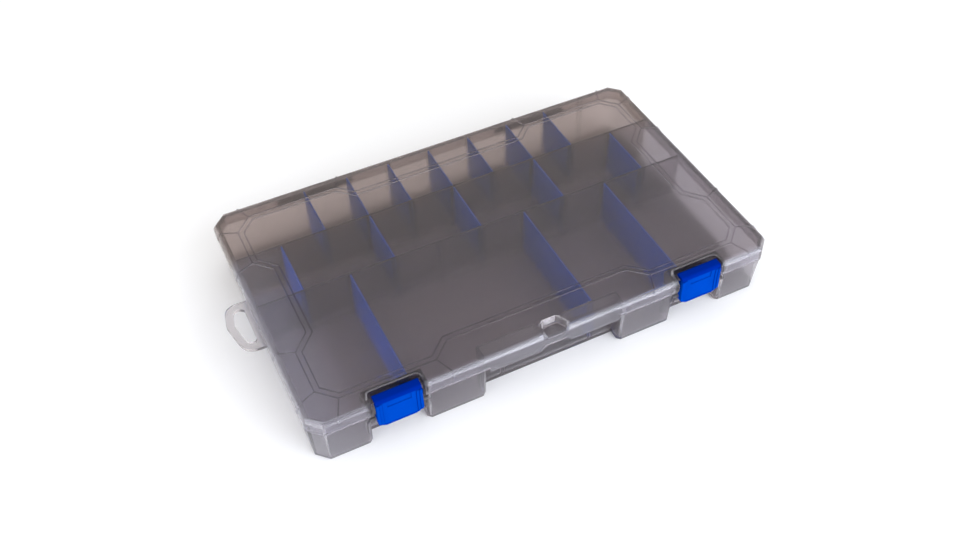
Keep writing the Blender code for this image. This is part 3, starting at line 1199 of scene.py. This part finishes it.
        extras = [ring, self.lip(-1), self.lip(1), *catches, *self.hinge.knuckles(Moulding.LID)]
        BENCH.combine(lid, extras, Joinery.ADD)
        BENCH.combine(lid, self.hinge.bores(Moulding.LID), Joinery.CUT)
        BENCH.polish(lid)
        lid.name = "lid_body"
        return lid

    def install(self, material: bpy.types.Material) -> list[bpy.types.Object]:
        """Model and dress the lid."""
        return [self.dress(self.build(), "lid", "lid", "lid_smoke", material)]


@dataclass
class Tray(SubAssembly):
    """The tray: drafted blocks and recesses, three rows of cells, slot ribs, hanging loop and knuckles."""

    half_width: float = 178.75
    half_depth: float = 109.0
    rim: float = 32.3
    gap: float = 0.3
    wall: float = 1.6
    floor: float = 1.8
    inset_top: float = 1.2
    inset_bottom: float = 3.0
    inset_upper: float = 2.2
    corner: float = 8.2
    block_round: float = 2.6
    latch_x: float = 116.7
    latch_recess: float = 20.0
    centre_recess: float = 52.5
    recess_depth: float = 12.6
    cell_front: float = -94.4
    cell_half: float = 173.6
    cell_back: float = 104.4
    partition_back: float = 56.9
    partition_front: float = 7.0
    partition_half: float = 0.75
    slot_pitch: float = 35.0
    slots: Sequence[int] = range(-4, 5)
    # Slots with ribs on the front wall too: those behind a recess, clear of the notch.
    recess_slots: Sequence[int] = (-3, -1, 1, 3)
    slot_half: float = 0.95
    rib_width: float = 1.2
    rib_depth: float = 1.5
    pivot_y: float = -106.0
    pivot_z: float = 25.5
    axle_hole: float = 2.1
    panel_depth: float = 0.5
    cut_head: float = 11.0
    hinge: Hinge = field(default_factory=Hinge)

    def outline(self, edge: float, recess: float, latch_half: float, centre_half: float) -> Outline:
        """Outer plan of the tray: four blocks with three recesses between them along the front.

        Args:
            edge: How far the wall stands inside the lid's face.
            recess: The recessed wall's place in Y.
            latch_half: Half the width of a latch recess.
            centre_half: Half the width of the middle recess.

        Returns:
            The outline.
        """
        half_w = self.half_width - edge
        front = -self.half_depth + edge
        back = self.half_depth - edge
        corner = self.corner
        step = self.block_round
        left = -self.latch_x - latch_half
        right = -self.latch_x + latch_half
        front_line = mirrored([
            (-half_w + corner, front),
            (left - step, front), (left, front + step), (left, recess),
            (right, recess), (right, front + step), (right + step, front),
            (-centre_half - step, front), (-centre_half, front + step), (-centre_half, recess),
        ])
        return front_line + [
            (half_w, front + corner), (half_w, back - corner),
            (half_w - corner, back), (-half_w + corner, back),
            (-half_w, back - corner), (-half_w, front + corner),
        ]

    def body(self) -> bpy.types.Object:
        """Model the solid outside, with its foot, draft, ledge and upper wall.

        Returns:
            The solid body.
        """
        recess = -self.half_depth + self.recess_depth
        bottom = self.outline(self.inset_bottom, recess, self.latch_recess, self.centre_recess)
        rim = self.outline(self.inset_top, recess - 0.3, self.latch_recess - 0.3, self.centre_recess - 0.3)
        upper = self.outline(
            self.inset_upper, recess + 0.6, self.latch_recess + 1.1, self.centre_recess + 0.6,
        )
        ledge = self.rim - self.gap
        foot = 1.2
        return BENCH.loft("tray_body", [
            (inset_outline(bottom, foot * 0.6), 0.0), (bottom, foot), (rim, ledge),
            (upper, ledge), (upper, self.rim + 9.0),
        ])

    def underside(self) -> list[bpy.types.Object]:
        """Model the cutters for the shallow panel under the floor and its ring of ejector marks.

        Returns:
            The cutters.
        """
        panel = BENCH.block("cut_panel", (-166.0, -88.0, -1.0), (166.0, 98.0, self.panel_depth))
        BENCH.pick(panel, Grasp.EDGES, lambda place, facing: abs(facing.z) > 0.9)
        BENCH.bevel(9.0, 6)
        BENCH.pick(panel, Grasp.EDGES, lambda place, facing: place.z > self.panel_depth - 0.05)
        BENCH.bevel(0.3, 2)
        mark_top = self.panel_depth + 0.4
        marks = [
            BENCH.drum("cut_mark", (x, y), 3.5, (-1.0, mark_top), 24, Axis.Z)
            for x in (-140.0, -70.0, 0.0, 70.0, 140.0)
            for y in (-60.0, 30.0, 80.0)
        ]
        return [panel, BENCH.gather(marks)]

    def front_row(self) -> Outline:
        """Inside plan of the front row, which runs out into the four blocks.

        Returns:
            The outline.
        """
        pocket = -self.half_depth + self.inset_bottom + self.wall
        side = 1.9
        corner = self.corner - self.wall
        latch_left = -self.latch_x - self.latch_recess - side
        latch_right = -self.latch_x + self.latch_recess + side
        centre = -self.centre_recess - side
        back = self.partition_front - self.partition_half
        left_part = [
            (-self.cell_half, pocket + corner), (-self.cell_half + corner, pocket),
            (latch_left, pocket), (latch_left, self.cell_front),
            (latch_right, self.cell_front), (latch_right, pocket),
            (centre, pocket), (centre, self.cell_front),
        ]
        return mirrored(left_part) + [(self.cell_half, back), (-self.cell_half, back)]

    def rows(self) -> dict[str, tuple[float, float]]:
        """The front and back walls of each row of cells, from the hinges forwards.

        Returns:
            Both places in Y, by the row's name.
        """
        half = self.partition_half
        return {
            "back": (self.partition_back + half, self.cell_back),
            "middle": (self.partition_front + half, self.partition_back - half),
            "front": (self.cell_front, self.partition_front - half),
        }

    def row_cutters(self) -> list[bpy.types.Object]:
        """Model the solids that hollow the three rows, their feet and corners rounded.

        Returns:
            The cutters.
        """
        top = self.rim + self.cut_head
        back, middle = (
            BENCH.block(
                f"cut_{name}_row", (-self.cell_half, self.rows()[name][0], self.floor),
                (self.cell_half, self.rows()[name][1], top),
            )
            for name in ("back", "middle")
        )
        BENCH.pick(back, Grasp.EDGES, lambda place, facing: abs(facing.z) > 0.9
                   and place.y > self.cell_back - 1.0)
        BENCH.bevel(self.corner - self.wall, 1)
        front = BENCH.plate("cut_front_row", self.front_row(), self.floor, top)
        for cutter in (back, middle, front):
            BENCH.pick(cutter, Grasp.EDGES, lambda place, facing: place.z < self.floor + 0.1)
            BENCH.bevel(1.0, 2)
            bpy.ops.object.mode_set(mode="OBJECT")
        return [back, middle, front]

    def slot_ribs(self) -> bpy.types.Object:
        """Model a pair of slot ribs once and copy it to every slot of every wall.

        Returns:
            All pairs in one object.
        """
        head = self.rim + 8.2
        root = 0.4
        pair = []
        for side in (-1, 1):
            inner = side * self.slot_half
            outer = side * (self.slot_half + self.rib_width)
            rib = BENCH.block(
                f"slot_rib_{side + 1}", (min(inner, outer), -root, self.floor - root),
                (max(inner, outer), self.rib_depth, head),
            )
            BENCH.pick(rib, Grasp.EDGES, lambda place, facing: place.z > head - 0.1
                       and place.y > -root + 0.1)
            BENCH.bevel(0.4, 2)
            pair.append(rib)
        forward = BENCH.gather(pair)
        backward = BENCH.copy(forward, "slot_rib_back", 0.0, 0.0, 0.0)
        backward.matrix_world = Matrix.Rotation(math.pi, 4, "Z")
        bpy.ops.object.transform_apply(location=True, rotation=True, scale=True)
        pairs = []
        for front, back in self.rows().values():
            for slot in self.slots:
                x = slot * self.slot_pitch
                if front != self.cell_front or slot in self.recess_slots:
                    pairs.append(BENCH.copy(forward, "slot_rib_pair", x, front, 0.0))
                pairs.append(BENCH.copy(backward, "slot_rib_pair", x, back, 0.0))
        for model in (forward, backward):
            bpy.data.objects.remove(model, do_unlink=True)
        return BENCH.gather(pairs)

    def loop(self) -> bpy.types.Object:
        """Model the hanging loop, its edges rounded.

        Returns:
            The loop.
        """
        edge = -self.half_width
        root = edge + 2.4
        top = self.rim - 0.8
        low = top - 2.6
        outline = [
            (root, -20.0), (edge - 5.0, -20.0), (edge - 9.5, -19.0), (edge - 13.0, -16.5),
            (edge - 15.8, -11.0), (edge - 18.8, 5.0), (edge - 19.3, 8.0),
            (edge - 16.8, 21.0), (edge - 14.6, 24.6), (edge - 10.0, 26.8), (root, 26.8),
        ][::-1]
        hole = [
            (edge - 4.6, -12.8), (edge - 3.2, -10.4), (edge - 3.2, 18.4), (edge - 6.4, 21.0),
            (edge - 9.6, 20.8), (edge - 11.0, 19.2), (edge - 13.8, 7.0), (edge - 10.4, -10.2),
            (edge - 8.4, -12.4),
        ]
        loop = BENCH.plate("tray_loop", outline, low, top)
        BENCH.pick(loop, Grasp.EDGES, lambda place, facing: abs(facing.z) > 0.9 and place.x < root - 0.5)
        BENCH.bevel(1.4, 3)
        BENCH.pick(loop, Grasp.EDGES, lambda place, facing: abs(facing.z) < 0.1 and place.x < root - 0.5)
        BENCH.bevel(0.6, 2)
        eye = BENCH.plate("tray_loop_eye", hole, low - 1.0, top + 1.0)
        BENCH.pick(eye, Grasp.EDGES, lambda place, facing: abs(facing.z) > 0.9)
        BENCH.bevel(0.8, 2)
        BENCH.combine(loop, [eye], Joinery.CUT)
        return loop

    def build(self) -> bpy.types.Object:
        """Model the whole tray.

        Returns:
            The finished tray.
        """
        tray = self.body()
        cutters = self.row_cutters()
        cutters.append(BENCH.block(
            "cut_notch_dip", (-11.0, -self.half_depth + 8.0, self.rim + 3.6),
            (11.0, self.cell_front + 0.6, self.rim + self.cut_head),
        ))
        for side in (-1, 1):
            reach = self.latch_recess + 3.0
            cutters.append(BENCH.drum(
                f"cut_axle_{side + 1}", (self.pivot_y, self.pivot_z), self.axle_hole,
                (side * self.latch_x - reach, side * self.latch_x + reach), 32, Axis.X,
            ))
        BENCH.combine(tray, [self.loop(), *self.hinge.knuckles(Moulding.TRAY)], Joinery.ADD)
        BENCH.combine(tray, [*cutters, *self.underside(), *self.hinge.bores(Moulding.TRAY)], Joinery.CUT)
        BENCH.combine(tray, [self.slot_ribs()], Joinery.ADD)
        BENCH.polish(tray)
        tray.name = "tray_body_finished"
        return tray

    def install(self, material: bpy.types.Material) -> list[bpy.types.Object]:
        """Model and dress the tray."""
        return [self.dress(self.build(), "tray", "tray", "tray_smoke", material)]


@dataclass
class Dividers(SubAssembly):
    """The drop-in dividers of all three rows."""

    tray: Tray = field(default_factory=Tray)
    thickness: float = 1.2
    foot: float = 2.1
    head: float = 41.2
    gap: float = 0.3
    back_slots: Sequence[int] = range(-3, 4)
    middle_slots: Sequence[int] = range(-4, 5, 2)
    front_slots: Sequence[int] = (-3, 1, 3)

    def row(self, name: str, slots: Sequence[int], front: float, back: float) -> list[bpy.types.Object]:
        """Model one divider and copy it to the row's slots.

        Args:
            name: The row's name.
            slots: The slots that hold one.
            front: The front wall's place.
            back: The back wall's place.

        Returns:
            The row's dividers, from the left.
        """
        half = self.thickness / 2
        pitch = self.tray.slot_pitch
        first = slots[0] * pitch
        model = BENCH.block(
            f"{name}_row_divider_1", (first - half, front + self.gap, self.foot),
            (first + half, back - self.gap, self.head),
        )
        BENCH.pick(model, Grasp.EDGES, lambda place, facing: abs(facing.z) > 0.9 or abs(facing.y) > 0.9)
        BENCH.bevel(0.3, 2)
        BENCH.polish(model)
        copies = [
            BENCH.copy(model, f"{name}_row_divider_{number}", (slot - slots[0]) * pitch, 0.0, 0.0)
            for number, slot in enumerate(slots[1:], start=2)
        ]
        return [model, *copies]

    def install(self, material: bpy.types.Material) -> list[bpy.types.Object]:
        """Model and dress the dividers of every row.

        Args:
            material: Their material.

        Returns:
            The dressed dividers.
        """
        filled = {"back": self.back_slots, "middle": self.middle_slots, "front": self.front_slots}
        pieces = []
        for name, (front, back) in self.tray.rows().items():
            for number, divider in enumerate(self.row(name, filled[name], front, back), start=1):
                node = f"divider_{name}_{number}"
                pieces.append(self.dress(divider, "tray", node, "divider_blue", material))
        return pieces


@dataclass
class Latch(SubAssembly):
    """A snap latch: curved cover, stepped sides, finger ledge, hook, ears and stub axles."""

    centre: float = -116.7
    half: float = 16.2
    face: float = -109.0
    rim: float = 32.3
    pivot_y: float = -106.0
    pivot_z: float = 25.5
    ear_radius: float = 1.9
    axle_radius: float = 1.2
    axle_reach: float = 21.0

    def front_line(self) -> Outline:
        """The front of the section in (y, z), from the foot to the roll at the top."""
        return [(-1.0, -13.0), (-0.5, -9.0), (-0.15, -4.0), (0.0, 1.0), (0.0, 5.5), (-0.15, 9.2)]

    def section(self) -> Outline:
        """The whole section in (y, z): front, rolled top, hook, and the barrel at its foot.

        Returns:
            The outline.
        """
        back = [
            (-0.05, 10.2), (0.3, 11.2), (0.8, 11.8), (1.6, 12.2),
            (6.4, 12.2), (6.8, 11.9), (6.9, 11.4), (6.9, 10.0), (3.4, 9.8), (2.2, 8.8), (1.9, 7.0),
            (4.6, 6.4), (4.8, 5.6), (1.9, 4.6), (1.9, -3.6), (3.0, -4.4), (4.6, -5.2), (5.4, -6.8),
            (4.6, -8.4), (3.0, -9.2), (1.4, -10.2), (0.9, -13.0),
        ]
        points = self.front_line() + back
        return [(self.face + y, self.rim + z) for y, z in reversed(points)]

    def band(self, name: str, low: float, high: float, proud: float, top: float) -> bpy.types.Object:
        """Model a raised band on the front between two places across the latch.

        Args:
            name: Its name.
            low: Where it starts, from the latch's middle.
            high: Where it ends.
            proud: How far it stands out.
            top: Its head above the rim.

        Returns:
            The band.
        """
        middle = [point for point in self.front_line()[1:] if point[1] < top]
        line = [(-0.98, -12.85), *middle, (-0.1, top)]
        front = [(y - proud, z) for y, z in line]
        behind = [(y + 0.8, z) for y, z in reversed(line)]
        points = [(self.face + y, self.rim + z) for y, z in (front + behind)[::-1]]
        band = BENCH.plate(name, points, self.centre + low, self.centre + high, Axis.X)
        BENCH.pick(band, Grasp.EDGES, lambda place, facing: abs(facing.x) < 0.1
                   and place.y < self.face + 0.3)
        BENCH.bevel(0.12, 1)
        bpy.ops.object.mode_set(mode="OBJECT")
        return band

    def build(self) -> bpy.types.Object:
        """Model the latch.

        Returns:
            The finished latch.
        """
        left, right = self.centre - self.half, self.centre + self.half
        latch = BENCH.plate("left_latch", self.section(), left, right, Axis.X)
        raised = []
        for side in (-1, 1):
            outer = sorted((side * self.half, side * (self.half - 2.0)))
            inner = sorted((side * (self.half - 1.9), side * (self.half - 4.2)))
            raised.append(self.band(f"latch_outer_{side + 1}", *outer, 1.0, 9.4))
            raised.append(self.band(f"latch_inner_{side + 1}", *inner, 0.5, 9.2))
        raised.append(self.band("latch_foot", -self.half + 5.0, self.half - 5.0, 0.3, -11.6))
        pivot = (self.pivot_y, self.pivot_z)
        ear = BENCH.drum("latch_ears", pivot, self.ear_radius, (left - 0.5, right + 0.5), 40, Axis.X)
        BENCH.pick(ear, Grasp.EDGES, lambda place, facing: abs(facing.x) < 0.1)
        BENCH.bevel(0.35, 2)
        span = (self.centre - self.axle_reach, self.centre + self.axle_reach)
        axle = BENCH.drum("latch_axles", pivot, self.axle_radius, span, 32, Axis.X)
        BENCH.combine(latch, [*raised, ear, axle], Joinery.ADD)
        foot = self.rim - 13.0
        cutters = [BENCH.block(
            "latch_ledge", (self.centre - 8.6, self.face - 2.0, self.rim + 3.4),
            (self.centre + 8.6, self.face + 0.55, self.rim + 9.0),
        )]
        for side in (-1, 1):
            tip = self.centre + side * (self.half + 1.0)
            points = [
                (tip, foot - 1.0), (tip, foot + 4.2), (tip - side, foot + 3.5),
                (tip - side * 6.0, foot), (tip - side * 6.0, foot - 1.0),
            ]
            name = f"latch_corner_{side + 1}"
            cutters.append(BENCH.plate(name, points, self.face - 3.0, self.face + 8.0, Axis.Y))
        BENCH.combine(latch, cutters, Joinery.CUT)
        BENCH.polish(latch, 32.0)
        return latch

    def install(self, material: bpy.types.Material) -> list[bpy.types.Object]:
        """Model the left latch, copy it to the right, and dress both.

        Args:
            material: Their material.

        Returns:
            The dressed latches.
        """
        left = self.build()
        right = BENCH.copy(left, "right_latch", -2 * self.centre, 0.0, 0.0)
        return [
            self.dress(latch, f"latch_{side}", f"latch_{side}", "latch_blue", material)
            for latch, side in ((left, "left"), (right, "right"))
        ]


@dataclass
class Studio:
    """Pale floor, soft lights and the camera, in metres and degrees."""

    lens: float = 38.594
    sensor: float = 36.0
    eye: tuple[float, float, float] = (-0.23615, -0.4990, 0.5878)
    azimuth: float = -25.48
    elevation: float = 47.03
    roll: float = -1.43
    floor_size: float = 12.0
    air: float = 0.95
    air_colour: Colour = (1.0, 0.985, 0.975, 1.0)

    def floor(self) -> None:
        """Lay the floor just under the box."""
        BENCH.fresh()
        bpy.ops.mesh.primitive_plane_add(size=self.floor_size, location=(0.0, 0.0, -0.0002))
        floor = bpy.context.active_object
        floor.name = "studio_floor"
        recipe = Recipe("pale_floor")
        soft = recipe.noise(1.2, 2.0)
        paper = recipe.blend(soft, (0.90, 0.90, 0.90, 1.0), (0.92, 0.92, 0.92, 1.0))
        floor.data.materials.append(recipe.finish(Base_Color=paper, Roughness=0.9))

    def lamp(
        self, name: str, place: Sequence[float], target: Sequence[float],
        size: tuple[float, float], power: float, colour: tuple[float, float, float],
    ) -> None:
        """Hang one rectangular soft light.

        Args:
            name: The light's name.
            place: Where it hangs, in metres.
            target: The point it faces.
            size: Its width and height in metres.
            power: Its power in watts.
            colour: Its colour.
        """
        data = bpy.data.lights.new(name, "AREA")
        data.shape = "RECTANGLE"
        data.size, data.size_y = size
        data.energy = power
        data.color = colour
        light = bpy.data.objects.new(name, data)
        light.location = place
        light.rotation_euler = (Vector(target) - Vector(place)).to_track_quat("-Z", "Y").to_euler()
        bpy.context.collection.objects.link(light)

    def lights(self) -> None:
        """Set the surrounding light and hang the lamps."""
        world = bpy.data.worlds.new("studio_air")
        world.use_nodes = True
        backdrop = world.node_tree.nodes["Background"]
        backdrop.inputs["Color"].default_value = self.air_colour
        backdrop.inputs["Strength"].default_value = self.air
        bpy.context.scene.world = world
        cool = (0.84, 0.90, 1.0)
        mild = (0.90, 0.94, 1.0)
        self.lamp("key_softbox", (0.62, -1.55, 1.1), (0.0, -0.1, 0.0), (2.0, 1.5), 25.0, cool)
        self.lamp("low_softbox", (0.56, -1.33, 0.18), (0.05, -0.11, 0.04), (0.8, 0.34), 12.0, cool)
        self.lamp("end_softbox", (-1.45, -0.45, 0.22), (-0.18, -0.1, 0.04), (1.2, 0.42), 14.0, mild)
        bpy.context.scene.view_settings.view_transform = "Standard"

    def camera(self) -> None:
        """Place the camera from its bearing, height angle and roll."""
        turn = math.radians(self.azimuth)
        lift = math.radians(self.elevation)
        tilt = math.radians(self.roll)
        right = Vector((math.cos(turn), math.sin(turn), 0.0))
        ahead = Vector((-right.y, right.x, 0.0))
        forward = ahead * math.cos(lift) - Vector((0.0, 0.0, math.sin(lift)))
        up = right.cross(forward)
        across = right * math.cos(tilt) + up * math.sin(tilt)
        upright = up * math.cos(tilt) - right * math.sin(tilt)
        data = bpy.data.cameras.new("camera")
        data.lens = self.lens
        data.sensor_width = self.sensor
        camera = bpy.data.objects.new("camera", data)
        camera.matrix_world = Matrix((
            (across.x, upright.x, -forward.x, self.eye[0]),
            (across.y, upright.y, -forward.y, self.eye[1]),
            (across.z, upright.z, -forward.z, self.eye[2]),
            (0.0, 0.0, 0.0, 1.0),
        ))
        bpy.context.collection.objects.link(camera)
        bpy.context.scene.camera = camera


def main() -> None:
    """Set up the studio, then build and dress the whole box."""
    studio = Studio()
    studio.camera()
    studio.floor()
    studio.lights()

    # The lid's painted light on the front and the left end is paler and bluer than the tray's.
    lid_smoke = SmokePlastic("lid_smoke", painted_light=(0.82, 0.80, 0.86, 1.0))
    tray_smoke = SmokePlastic("tray_smoke")
    divider_blue = BluePlastic(
        "divider_blue", tint=(0.0, 0.115, 0.8, 1.0), worn=(0.0, 0.11, 0.84, 1.0), clearness=0.25, gloss=0.4,
    )
    latch_blue = LatchPlastic(
        "latch_blue", tint=(0.0, 0.04, 0.32, 1.0), worn=(0.0, 0.036, 0.29, 1.0),
        clearness=0.0, gloss=0.3, sheen=0.0,
    )

    hinge = Hinge()
    tray = Tray(hinge=hinge)
    dressed = (
        (Lid(hinge=hinge), lid_smoke), (tray, tray_smoke), (Dividers(tray=tray), divider_blue),
        (Latch(), latch_blue), (hinge, SteelWire()),
    )
    for assembly, finish in dressed:
        for piece in assembly.install(finish.make()):
            LOG.info("%s: %d faces, finished in %s", piece.name, len(piece.data.polygons), finish.name)


if __name__ == "__main__":
    main()
